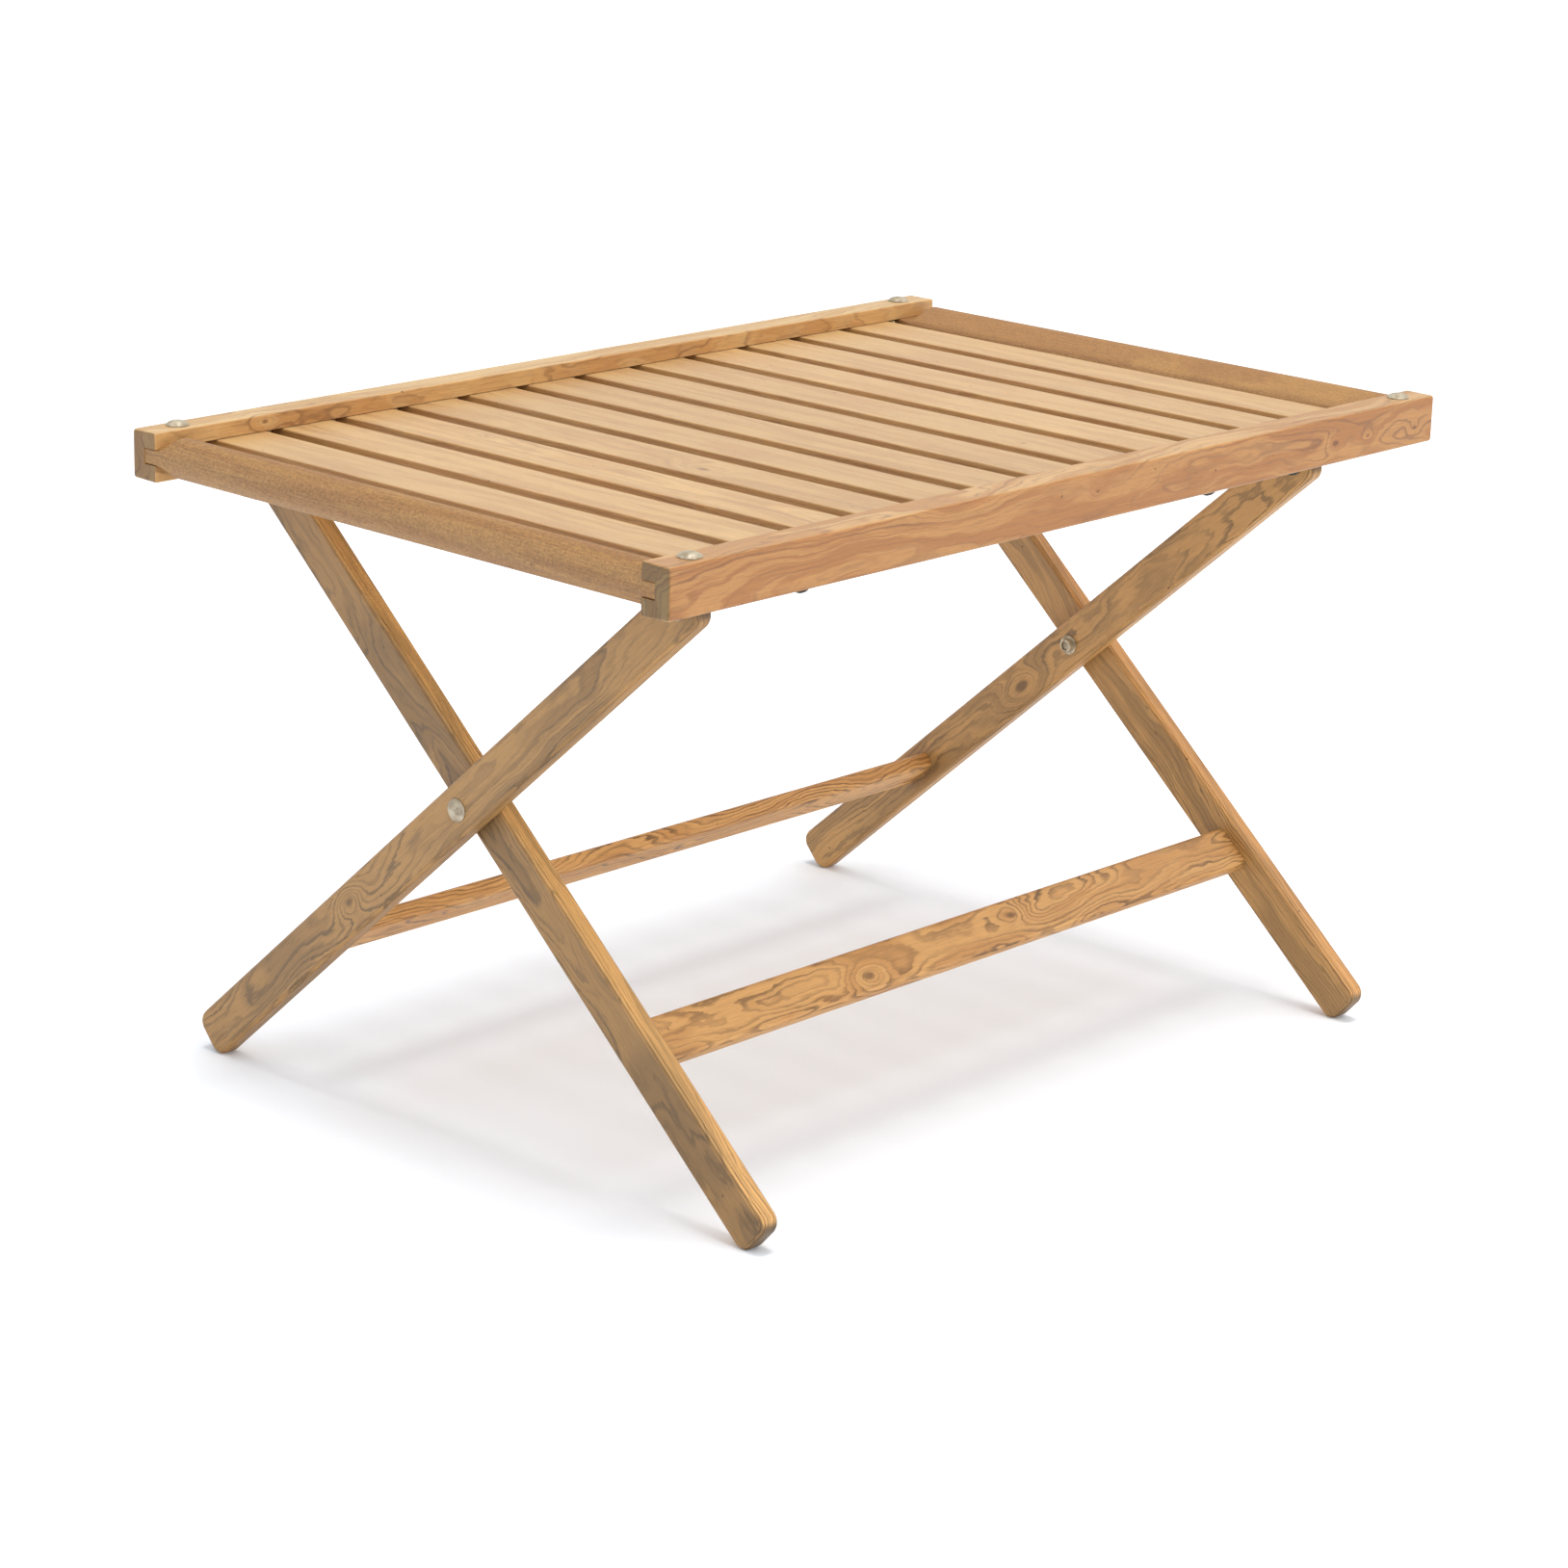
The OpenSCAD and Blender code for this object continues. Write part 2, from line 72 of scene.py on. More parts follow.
class Graph:
    """Short ways to add and link shader nodes in one material."""

    def __init__(self, name):
        self.material = bpy.data.materials.new(name)
        self.material.use_nodes = True
        self.tree = self.material.node_tree
        self.shader = self.tree.nodes["Principled BSDF"]

    def add(self, kind, inputs=(), **settings):
        node = self.tree.nodes.new(kind)
        for key, value in settings.items():
            setattr(node, key, value)
        for slot, value in dict(inputs).items():
            self.put(node.inputs[slot], value)
        return node

    def put(self, socket, value):
        if isinstance(value, bpy.types.NodeSocket):
            self.tree.links.new(value, socket)
        else:
            socket.default_value = value

    def math(self, operation, a, b=0.0, c=0.0, clamp=False):
        node = self.add("ShaderNodeMath", {0: a, 1: b, 2: c}, operation=operation)
        node.use_clamp = clamp
        return node.outputs[0]

    def hypotenuse(self, a, b):
        squares = [self.math("POWER", side, 2.0) for side in (a, b)]
        return self.math("SQRT", self.math("ADD", *squares))

    def vector(self, operation, a, b=(0, 0, 0)):
        return self.add("ShaderNodeVectorMath", {0: a, 1: b}, operation=operation).outputs[0]

    def split(self, vector):
        return self.add("ShaderNodeSeparateXYZ", {0: vector}).outputs

    def join(self, x, y, z):
        return self.add("ShaderNodeCombineXYZ", {0: x, 1: y, 2: z}).outputs[0]

    def noise(self, vector, size, detail=2.0, roughness=0.5, output=0):
        """Noise whose grains measure about size = (x, y, z) in the vector's own units."""
        scaled = self.vector("DIVIDE", vector, size)
        node = self.add("ShaderNodeTexNoise",
                        {"Vector": scaled, "Scale": 1.0, "Detail": detail, "Roughness": roughness})
        return node.outputs[output]

    def smooth(self, value, low, high):
        """0 below low, 1 above high, smooth between."""
        node = self.add("ShaderNodeMapRange", {0: value, 1: low, 2: high},
                        interpolation_type="SMOOTHSTEP")
        return node.outputs[0]

    def mix(self, factor, a, b, blend="MIX"):
        node = self.add("ShaderNodeMix", data_type="RGBA", blend_type=blend)
        for index, value in ((0, factor), (6, a), (7, b)):
            self.put(node.inputs[index], value)
        return node.outputs[2]

    def sway(self, value, noise, amount):
        """Value moved by up to about a third of amount either way."""
        return self.math("MULTIPLY_ADD", self.math("SUBTRACT", noise, 0.5), amount, value)

    def bump(self, height, strength, distance):
        node = self.add("ShaderNodeBump",
                        {"Height": height, "Strength": strength, "Distance": distance})
        self.put(self.shader.inputs["Normal"], node.outputs[0])


# ---------------------------------------------------------------- materials

@dataclass(frozen=True)
class Timber:
    """How one kind of board looks. Lengths are in millimetres."""
    pale: tuple                  # early wood
    warm: tuple                  # early wood in the boards' warmer patches
    line: tuple                  # late wood
    ring: float = 3.2            # growth rings' spacing
    lines: float = 0.6           # strength of the late wood's lines
    band: tuple = (0.30, 0.80)   # where in a ring the late wood starts and is full
    blotch: float = 0.6          # strength of the warmer patches
    swirl: float = 22.0          # how far the grain wanders
    fibre: float = 0.28          # strength of the long fibres
    fuzz: float = 0.22           # strength of the short pores
    nap: float = 0.0             # strength of a raised, brushed nap
    gloss: float = 0.5           # mean roughness
    side: tuple = (1, 1, 1, 1)   # painted light and shade on the faces that look across the board
    end: tuple = (0.46, 0.47, 0.46, 1)  # darker end grain, partly painted shade


# Sizes of the noises in wood, in millimetres along, across and through the board
WANDER, RIPPLE, JITTER = (230, 95, 95), (62, 22, 22), (12, 2.6, 2.6)
FADE, PATCH = (150, 26, 26), (8, 170, 60)
STRAND, PORE, NAP = (48, 0.9, 0.9), (9, 0.5, 0.5), (2.6, 2.0, 2.0)
DRIFT, PIN_SPACING = (16, 1, 1), (34, 34, 34)
KNOT_HEART, PIN_HEART = srgb(86, 50, 28), srgb(84, 56, 34)


def ring_radius(g, timber, moved, ripple, places, pith):
    """Distance from the pith, bent by a slow wander, a ripple and a fine jitter."""
    wander = g.split(g.noise(moved, WANDER, 1.0, 0.5, output=1))
    jitter = g.split(g.noise(moved, JITTER, 2.0, 0.6, output=1))
    bends = (wander, timber.swirl * 2), (ripple, timber.swirl * 0.45), (jitter, 1.8)
    offsets = []
    for axis, (position, centre) in enumerate(zip(places, pith)):
        offset = g.math("SUBTRACT", position, centre)
        for noise, amount in bends:
            offset = g.sway(offset, noise[axis], amount)
        offsets.append(offset)
    return g.hypotenuse(*offsets)


def add_knots(g, knots, along, level, blur, radius):
    """Ring radius swollen round each knot, and the knots' dark cores (None without knots)."""
    core = None
    for knot_along, knot_level, size in knots:
        u = g.math("SUBTRACT", along, knot_along)
        v = g.math("SUBTRACT", level, knot_level)
        reach = g.hypotenuse(g.math("DIVIDE", u, size * 3.6), g.math("DIVIDE", v, size * 2.0))
        swell = g.math("EXPONENT", g.math("MULTIPLY", g.math("POWER", reach, 2.0), -1.0))
        radius = g.math("MULTIPLY_ADD", swell, size * 2.4, radius)
        spread = g.hypotenuse(g.math("DIVIDE", u, size * 1.3), g.math("DIVIDE", v, size * 0.7))
        spot = g.math("SUBTRACT", 1.0, g.smooth(g.sway(spread, blur, 1.2), 0.35, 1.1))
        core = spot if core is None else g.math("MAXIMUM", core, spot)
    return radius, core


def late_wood(g, timber, moved, radius):
    """Strength of the dark lines: each ramps up and stops short, every year as it grew."""
    drift = g.noise(g.join(radius, 0.0, 0.0), DRIFT, 1.0)
    phase = g.sway(g.math("DIVIDE", radius, timber.ring), drift, 2.2)
    turn = g.math("FRACT", phase)
    stop = g.math("SUBTRACT", 1.0, g.smooth(turn, 0.88, 1.0))
    late = g.math("MULTIPLY", g.smooth(turn, *timber.band), stop)
    number = g.math("FLOOR", phase)
    year = g.add("ShaderNodeTexWhiteNoise", {"W": number}, noise_dimensions="1D").outputs[0]
    fade = g.smooth(g.noise(moved, FADE, 1.0), 0.36, 0.60)
    late = g.math("MULTIPLY", late, g.math("MULTIPLY_ADD", year, 0.65, 0.35))
    return g.math("MULTIPLY", late, g.math("MULTIPLY_ADD", fade, 0.6, 0.4))


def paint_face_light(g, colour, normal, axes, timber):
    """Colour with painted light and shade on the board's sides, and its darker end grain, partly
    painted shade.
    """
    facing = g.split(g.vector("ABSOLUTE", normal))
    for axis, tint in ((axes[1], timber.side), (axes[0], timber.end)):
        share = g.smooth(facing["XYZ".index(axis)], 0.45, 0.9)
        colour = g.mix(share, colour, g.mix(1.0, colour, tint, "MULTIPLY"))
    return colour


def wood(name, timber, seed, pith=(20, -40), knots=(), axes="XYZ", upright=False):
    """Solid wood with growth rings round a pith that runs along the board's first axis.

    pith is where the tree's centre lies across and through the board, and knots are (along,
    across, radius), all in millimetres. upright knots are (along, through, radius) instead, and
    show on the board's sides. axes says which of the piece's own axes run along, across and
    through the board.
    """
    g = Graph(name)
    draw = random.Random(seed)
    coordinates = g.add("ShaderNodeTexCoord").outputs
    place = g.split(g.vector("MULTIPLY", coordinates["Object"], IN_MM))
    along, across, through = (place["XYZ".index(axis)] for axis in axes)
    shift = tuple(draw.uniform(-900, 900) for _ in range(3))
    moved = g.vector("ADD", g.join(along, across, through), shift)

    ripple = g.split(g.noise(moved, RIPPLE, 2.0, 0.5, output=1))
    radius = ring_radius(g, timber, moved, ripple, (across, through), pith)
    level = through if upright else across
    radius, core = add_knots(g, knots, along, level, ripple[2], radius)
    late = late_wood(g, timber, moved, radius)

    # warm patches that follow the rings, long fibres and short pores
    belt = g.vector("ADD", g.join(radius, along, through), (seed * 30, 0, 0))
    patch = g.smooth(g.noise(belt, PATCH, 3.0, 0.6), 0.44, 0.57)
    strands = g.noise(moved, STRAND, 3.0, 0.65)
    pores = g.smooth(g.noise(moved, PORE, 2.0, 0.6), 0.55, 0.72)
    colour = g.mix(g.math("MULTIPLY", patch, timber.blotch), timber.pale, timber.warm)
    colour = g.mix(g.math("MULTIPLY", late, timber.lines, clamp=True), colour, timber.line)

    # light and dark, and relief
    shade = g.sway(1.0, strands, timber.fibre * 2)
    shade = g.math("MULTIPLY_ADD", pores, -timber.fuzz, shade)
    height = g.math("MULTIPLY_ADD", late, 0.35, g.math("MULTIPLY", strands, 0.6))
    height = g.math("MULTIPLY_ADD", pores, -0.6, height)
    if timber.nap:
        nap = g.noise(moved, NAP, 1.0, 0.6)
        shade = g.sway(shade, nap, timber.nap)
        height = g.sway(height, nap, timber.nap * 2.5)
    colour = g.mix(1.0, colour, g.join(shade, shade, shade), "MULTIPLY")

    # the knots' hearts and scattered pin knots
    if core is not None:
        heart = g.mix(ripple[0], timber.line, KNOT_HEART)
        colour = g.mix(g.math("MULTIPLY", core, 0.7), colour, heart)
    cell = g.vector("DIVIDE", moved, PIN_SPACING)
    pin = g.add("ShaderNodeTexVoronoi", {"Vector": cell, "Scale": 1.0}).outputs["Distance"]
    pin = g.math("SUBTRACT", 1.0, g.smooth(pin, 0.020, 0.045))
    colour = g.mix(g.math("MULTIPLY", pin, 0.75), colour, PIN_HEART)

    # painted light and shade, set by the way each face looks
    colour = paint_face_light(g, colour, coordinates["Normal"], axes, timber)
    g.put(g.shader.inputs["Base Color"], colour)
    roughness = g.math("MULTIPLY_ADD", late, -0.08, g.sway(timber.gloss, strands, 0.25))
    g.put(g.shader.inputs["Roughness"], roughness)
    g.bump(height, 0.35, 0.5 * MM)
    return g.material


SMUDGE, SPECK = (7, 7, 7), (0.9, 0.9, 0.9)   # sizes of metal's marks in millimetres


def metal(name, tone, roughness, grime, seed, dull=0.0):
    """Plated steel with smudges and grime; dull lowers its metallic part."""
    g = Graph(name)
    place = g.vector("MULTIPLY", g.add("ShaderNodeTexCoord").outputs["Object"], IN_MM)
    place = g.vector("ADD", place, (seed * 17.0, seed * 5.0, seed * 9.0))
    smudge = g.noise(place, SMUDGE, 3.0, 0.6)
    speck = g.noise(place, SPECK, 2.0, 0.6)
    worn = g.smooth(g.math("MULTIPLY_ADD", speck, 0.35, smudge), 0.52, 0.85)
    g.put(g.shader.inputs["Base Color"], g.mix(g.math("MULTIPLY", worn, 0.6), tone, grime))
    g.put(g.shader.inputs["Metallic"], 1.0 - dull)
    g.put(g.shader.inputs["Roughness"], g.math("MULTIPLY_ADD", worn, 0.25, roughness))
    g.bump(g.math("MULTIPLY_ADD", speck, 0.4, smudge), 0.12, 0.3 * MM)
    return g.material


# side in each timber below is painted light and shade on the faces that look across the board: the
# rails' outer and inner faces, the slats' sides in the gaps, the end rails' outer and inner faces
# and the legs' narrow faces; end is darker end grain, partly painted shade
RAIL = Timber(
    pale=srgb(188, 148, 99), warm=srgb(170, 124, 76), line=srgb(114, 76, 42),
    ring=5.0, lines=0.65, band=(0.6, 0.85), blotch=0.9, swirl=36, fibre=0.34,
    side=(0.84, 0.66, 0.45, 1), end=(0.42, 0.43, 0.32, 1))
FAR_RAIL = replace(
    RAIL, pale=srgb(193, 159, 110), warm=srgb(180, 140, 90), ring=4.0,
    side=(1.06, 0.90, 0.70, 1), end=(0.45, 0.39, 0.28, 1))
# painted shade: darker than the slats for the shade on the faces that look away from the light
END_RAIL = Timber(
    pale=srgb(152, 110, 58), warm=srgb(138, 94, 48), line=srgb(104, 66, 32),
    ring=2.4, lines=0.35, swirl=10, nap=0.9, gloss=0.65,
    side=(1.05, 1.12, 1.45, 1), end=(0.8, 0.8, 0.78, 1))
SLAT = Timber(
    pale=srgb(191, 153, 101), warm=srgb(174, 131, 84), line=srgb(138, 98, 57),
    lines=0.7, band=(0.4, 0.8), blotch=0.55, swirl=12, fibre=0.3, fuzz=0.2, gloss=0.42,
    side=(0.80, 0.68, 0.55, 1))
# painted shade: darker than the slats for the shade on the wide faces that look away from the light
LEG = Timber(
    pale=srgb(164, 123, 71), warm=srgb(132, 99, 57), line=srgb(84, 62, 32),
    ring=2.3, lines=0.75, band=(0.45, 0.8), blotch=0.75, swirl=18, fibre=0.36,
    side=(1.06, 1.02, 0.98, 1))
STRETCHER = Timber(
    pale=srgb(200, 149, 88), warm=srgb(180, 126, 68), line=srgb(100, 68, 32),
    ring=2.8, lines=0.95, band=(0.4, 0.8), swirl=28)
REST = Timber(
    pale=srgb(150, 112, 70), warm=srgb(140, 100, 60), line=srgb(104, 72, 40), ring=3.5)
PEG = Timber(
    pale=srgb(196, 172, 132), warm=srgb(190, 162, 120), line=srgb(164, 132, 92),
    ring=1.6, lines=0.3, end=(0.9, 0.88, 0.84, 1))
DOWEL = replace(PEG, pale=srgb(186, 150, 106), warm=srgb(176, 138, 94))


def toned(timber, factor, **changes):
    """The same timber with all its colours made lighter or darker by a factor."""
    tones = {tone: tuple(factor * value for value in getattr(timber, tone)[:3]) + (1,)
             for tone in ("pale", "warm", "line")}
    return replace(timber, **tones, **changes)


# ---------------------------------------------------------------- board meshes

def turn_to(along, across):
    """Rotation whose first axis runs along a board and whose second runs across it."""
    return Matrix((along, across, along.cross(across))).transposed().to_4x4()


def placed(node, along, across):
    """Matrix and size of the board that a CAD node is, with its own axes along and across it."""
    rotation = turn_to(along, across)
    inverse = rotation.to_3x3().transposed()
    points = [inverse @ vertex.co for vertex in frame["nodes"][node].data.vertices]
    low = Vector([min(point[i] for point in points) for i in range(3)])
    high = Vector([max(point[i] for point in points) for i in range(3)])
    return rotation @ Matrix.Translation((low + high) / 2), high - low


def arc(centre, radius, start, stop, steps):
    """Points on an arc, angles in degrees."""
    x, y = centre
    angles = [math.radians(start + (stop - start) * i / steps) for i in range(steps + 1)]
    return [(x + radius * math.cos(angle), y + radius * math.sin(angle)) for angle in angles]


CORNERS = [(1, 1), (-1, 1), (-1, -1), (1, -1)]   # a rectangle's corners, anticlockwise
LEAD_IN = 0.3 * MM               # flat strip of a face beside its rounded rim
WELD = 0.001 * MM                # points closer than this are one point


def rounded(width, height, radius, steps=6):
    """Anticlockwise rectangle outline with round corners, centred."""
    points = []
    for corner, (sx, sy) in enumerate(CORNERS):
        centre = (sx * (width / 2 - radius), sy * (height / 2 - radius))
        points += arc(centre, radius, 90 * corner, 90 * corner + 90, steps)
    return points


def quirked(width, height, radius, quirk, steps=6):
    """Rectangle outline whose corners are quarter rounds between fine square steps."""
    inset = radius + quirk
    points = []
    for corner, (sx, sy) in enumerate(CORNERS):
        x, y = sx * (width / 2 - inset), sy * (height / 2 - inset)
        turn = arc((x, y), radius, 90 * corner, 90 * corner + 90, steps)
        steps_out = [(sx * width / 2, y), (x, sy * height / 2)]
        if corner % 2:
            steps_out.reverse()
        points += [steps_out[0]] + turn + [steps_out[1]]
    return points


def inward(points):
    """Miter vector into an anticlockwise outline at each point, one unit from both edges."""
    result = []
    for i, point in enumerate(points):
        before, after = points[i - 1], points[(i + 1) % len(points)]
        edges = (Vector(point) - Vector(before), Vector(after) - Vector(point))
        normals = [Vector((-edge.y, edge.x)).normalized() for edge in edges]
        middle = normals[0] + normals[1]
        result.append(middle / max(middle.dot(normals[0]), 0.4))
    return result


def quarter_round(radius, steps=5):
    """Rim from a face to a side as (inset, drop): a flat lead-in, then a quarter round."""
    angles = [math.radians(90 * i / steps) for i in range(1, steps + 1)]
    turn = [(radius * (1 - math.sin(angle)), radius * (1 - math.cos(angle))) for angle in angles]
    return [(radius + LEAD_IN, 0.0), (radius, 0.0)] + turn


def quirked_round(radius, quirk, steps=6):
    """Rim from a face to a side: a fine step down, a quarter round, and a fine step out."""
    wall, step = 0.1 * MM, radius + quirk
    rim = [(step + LEAD_IN, 0.0), (step, 0.0), (step - wall, quirk)]
    rim += [(inset + quirk, drop + quirk) for inset, drop in quarter_round(radius, steps)[2:]]
    return rim + [(0.0, step + wall)]


def tube_faces(rings, count):
    """Faces of a closed tube of rings with count points each, both ends capped."""
    faces = [tuple(range(count)), tuple(range((rings - 1) * count, rings * count))]
    for ring in range(rings - 1):
        a, b = ring * count, (ring + 1) * count
        faces += [(a + i, b + i, b + (i + 1) % count, a + (i + 1) % count) for i in range(count)]
    return faces


def slab(outline, depth, rim, order, soft=None):
    """Closed solid: an outline (u, v) given a depth (w), its two edges shaped by rim.

    order names the piece's three axes by what they carry, such as WUV for a board drawn end on.
    soft gives each outline point's share of the rim's inset.
    """
    share = soft or [1.0] * len(outline)
    miter = inward(outline)
    rings = [(inset, depth / 2 - drop) for inset, drop in rim]
    rings += [(inset, -w) for inset, w in reversed(rings)]
    vertices = []
    for inset, w in rings:
        for (u, v), offset, part in zip(outline, miter, share):
            spot = {"U": u + offset.x * inset * part, "V": v + offset.y * inset * part, "W": w}
            vertices.append(tuple(spot[axis] for axis in order))
    return vertices, tube_faces(len(rings), len(outline))


def finish_piece(name, shape, place, node, body, material, sharp=32):
    """Mesh object with outward faces and smooth shading, riding on its body in a node's stead."""
    mesh = bpy.data.meshes.new(name)
    mesh.from_pydata(shape[0], [], shape[1])
    mesh.materials.append(material)
    work = bmesh.new()
    work.from_mesh(mesh)
    bmesh.ops.remove_doubles(work, verts=work.verts, dist=WELD)
    bmesh.ops.recalc_face_normals(work, faces=work.faces)
    work.to_mesh(mesh)
    work.free()
    mesh.polygons.foreach_set("use_smooth", [True] * len(mesh.polygons))
    mesh.set_sharp_from_angle(angle=math.radians(sharp))
    piece = bpy.data.objects.new(name, mesh)
    scene.collection.objects.link(piece)
    piece.modifiers.new("weighted_normals", "WEIGHTED_NORMAL").keep_sharp = True
    piece.matrix_world = place
    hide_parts(node)
    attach(piece, body)


# ---------------------------------------------------------------- tabletop

RAIL_OUTER_EDGE, RAIL_INNER_EDGE, RAIL_END_EDGE = 3.0 * MM, 1.2 * MM, 2.6 * MM
GROOVE_CLEARANCE = 0.5 * MM      # above and below a slat, and behind a tenon
TENON_EDGE = 1.2 * MM
INNER_HEIGHT = 16 * MM           # an end rail's thinner inner side
NECKS = ((-1, 3 * MM), (1, 15 * MM))   # how far an end rail narrows, at its near and far ends
PROUD = 1.2 * MM                 # the right end rail's near tenon reaches this much further
SLAT_COUNT, SLAT_EDGE, SLAT_END_EDGE = 12, 1.6 * MM, 0.6 * MM
SLAT_KNOTS = {3: [(140, -12, 2.0)], 4: [(-51, 7, 7.0)], 8: [(-150, 10, 2.5)], 11: [(60, 14, 2.0)]}


def build_long_rail(node, side, timber, seed, pith, knots):
    """Long rail with its groove; side is -1 for the near one and 1 for the far one."""
    place, size = placed(node, X * -side, Y * -side)
    floor, ceiling, back = rail_groove(node, side)
    outer, inner = RAIL_OUTER_EDGE, RAIL_INNER_EDGE
    left, right = -size.y / 2, size.y / 2
    low, high = -size.z / 2, size.z / 2
    outside = arc((left + outer, high - outer), outer, 90, 180, 6)
    outside += arc((left + outer, low + outer), outer, 180, 270, 6)
    inside = arc((right - inner, low + inner), inner, 270, 360, 3)
    inside += [(right, floor), (back, floor), (back, ceiling), (right, ceiling)]
    inside += arc((right - inner, high - inner), inner, 0, 90, 3)
    # the rim fades out over the inner edges' arcs and leaves the groove square
    soft = [1.0] * len(outside) + [0.3] * 4 + [0.0] * 4 + [0.3] * 4
    shape = slab(outside + inside, size.x, quarter_round(RAIL_END_EDGE), "WUV", soft)
    finish_piece(node + "_board", shape, place, node, "tabletop",
                 wood(node, timber, seed, pith, knots, upright=True))


def rail_groove(node, side):
    """Groove's floor, ceiling and back, measured from the middle of the rail's section."""
    low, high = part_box(node)
    middle = (low + high) / 2
    tenon_low, tenon_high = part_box("left_end_rail")
    slat_low, slat_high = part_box("slat_01")
    tip = tenon_low.y if side < 0 else tenon_high.y
    floor = slat_low.z - GROOVE_CLEARANCE - middle.z
    ceiling = slat_high.z + GROOVE_CLEARANCE - middle.z
    return floor, ceiling, (middle.y - tip) * side - GROOVE_CLEARANCE


def build_end_rail(node, side, timber, seed, pith, steps=12):
    """Rounded end rail: its body blends into a tenon at both ends, slowly at the far one."""
    place, size = placed(node, Y, X * -1)
    length, width, height = size
    slat_low, slat_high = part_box("slat_01")
    far_low, far_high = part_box("far_rail")
    inner_face = far_low.y - (far_high.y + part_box("near_rail")[0].y) / 2
    corner_steps = 7
    tenon = rounded(width, slat_high.z - slat_low.z, TENON_EDGE, corner_steps)
    body = teardrop(width, height, INNER_HEIGHT, -side, corner_steps)
    near_end = -length / 2 - (PROUD if side > 0 else 0.0)
    stations = [(near_end, 0.0), (length / 2, 0.0)]   # (place along, share of the full body)
    for sign, neck in NECKS:
        for share in (i / steps for i in range(steps + 1)):
            place_along = sign * (inner_face - neck * share)
            stations.append((place_along, (1 - math.cos(math.pi * share)) / 2))
    stations.sort()
    vertices = []
    for y, share in stations:
        points = (Vector(neck).lerp(Vector(full), share) for neck, full in zip(tenon, body))
        vertices += [(y, point.x, point.y) for point in points]
    shape = vertices, tube_faces(len(stations), len(body))
    finish_piece(node + "_bar", shape, place, node, "tabletop",
                 wood(node, timber, seed, pith), sharp=40)


def teardrop(width, height, thin, outer, steps):
    """Outline with one full round side, towards outer = 1 or -1, and one thinner round side."""
    big, small = height / 2, thin / 2
    taper = math.degrees(math.asin((big - small) / (width - big - small)))
    ends = {outer: (big, taper), -outer: (small, -taper)}
    points = []
    for corner, (sx, _) in enumerate(CORNERS):
        radius, lean = ends[sx]
        start = 90 * corner - (lean if corner % 2 else 0)
        stop = 90 * corner + 90 + (0 if corner % 2 else lean)
        points += arc((sx * (width / 2 - radius), 0), radius, start, stop, steps)
    return points


def build_slats():
    """Slats, each sawn from its own place in the tree and a little lighter or darker."""
    draw = random.Random(41)
    for number in range(1, SLAT_COUNT + 1):
        node = f"slat_{number:02d}"
        place, size = placed(node, Y, X * -1)
        timber = toned(SLAT, draw.uniform(0.93, 1.03),
                       ring=draw.uniform(2.0, 3.4), lines=draw.uniform(0.4, 0.7))
        pith = (draw.uniform(-70, 70), -draw.uniform(14, 70))
        outline = rounded(size.y, size.z, SLAT_EDGE, 4)
        shape = slab(outline, size.x, quarter_round(SLAT_END_EDGE, 2), "WUV")
        finish_piece(node + "_board", shape, place, node, "tabletop",
                     wood(node, timber, number + 60, pith, SLAT_KNOTS.get(number, ())))


# ---------------------------------------------------------------- legs and stretchers

LEG_CORNER = 11 * MM             # radius of the legs' round ends
EDGE_RADIUS, EDGE_QUIRK = 2.6 * MM, 0.5 * MM
STRETCHER_END_EDGE = 0.4 * MM


def build_leg(node, body, up, timber, seed, pith, knots=()):
    """Leg board with round ends and quirked long edges."""
    place, size = placed(node, up, up.cross(X))
    outline = rounded(size.x, size.y, LEG_CORNER, 10)
    shape = slab(outline, size.z, quirked_round(EDGE_RADIUS, EDGE_QUIRK), "UVW")
    finish_piece(node + "_board", shape, place, node, body,
                 wood(node, timber, seed, pith, knots))


def build_stretcher(node, body, up, timber, seed, pith, knots=()):
    """Square-ended stretcher between a frame's legs, with quirked long edges."""
    place, size = placed(node, X, up)
    outline = quirked(size.y, size.z, EDGE_RADIUS, EDGE_QUIRK)
    shape = slab(outline, size.x, quarter_round(STRETCHER_END_EDGE, 2), "WUV")
    finish_piece(node + "_board", shape, place, node, body,
                 wood(node, timber, seed, pith, knots))


# ---------------------------------------------------------------- bolts

def lathe(name, profile, places, node, body, material, steps=64):
    """Turned pieces: a profile of (radius, height) spun round +Z at each place."""
    vertices, faces = [], []
    for place in places:
        start = len(vertices)
        for radius, height in profile:
            for i in range(steps):
                angle = 2 * math.pi * i / steps
                spot = Vector((radius * math.cos(angle), radius * math.sin(angle), height))
                vertices.append(tuple(place @ spot))
        turned = tube_faces(len(profile), steps)
        faces += [tuple(index + start for index in face) for face in turned]
    shape = vertices, faces
    finish_piece(name, shape, Matrix.Identity(4), node, body, material, sharp=50)


def bolt_profile(head, rise, shank, length, steps=12):
    """Carriage bolt from the middle of its shallow head down its shank; both widths are radii."""
    rim, chamfer = 1.4 * MM, 0.6 * MM
    dome, lip = head * 0.92, head * 0.97
    shares = [i / steps for i in range(1, steps + 1)]
    points = [(0.05 * MM, rise)]
    points += [(dome * share, rise - (rise - rim) * share ** 2.6) for share in shares]
    points += [(lip, 1.1 * MM), (head, 0.7 * MM), (head, 0.2 * MM), (lip, 0.0)]
    points += [(shank, -0.02 * MM), (shank, chamfer - length), (shank - chamfer, -length)]
    return points


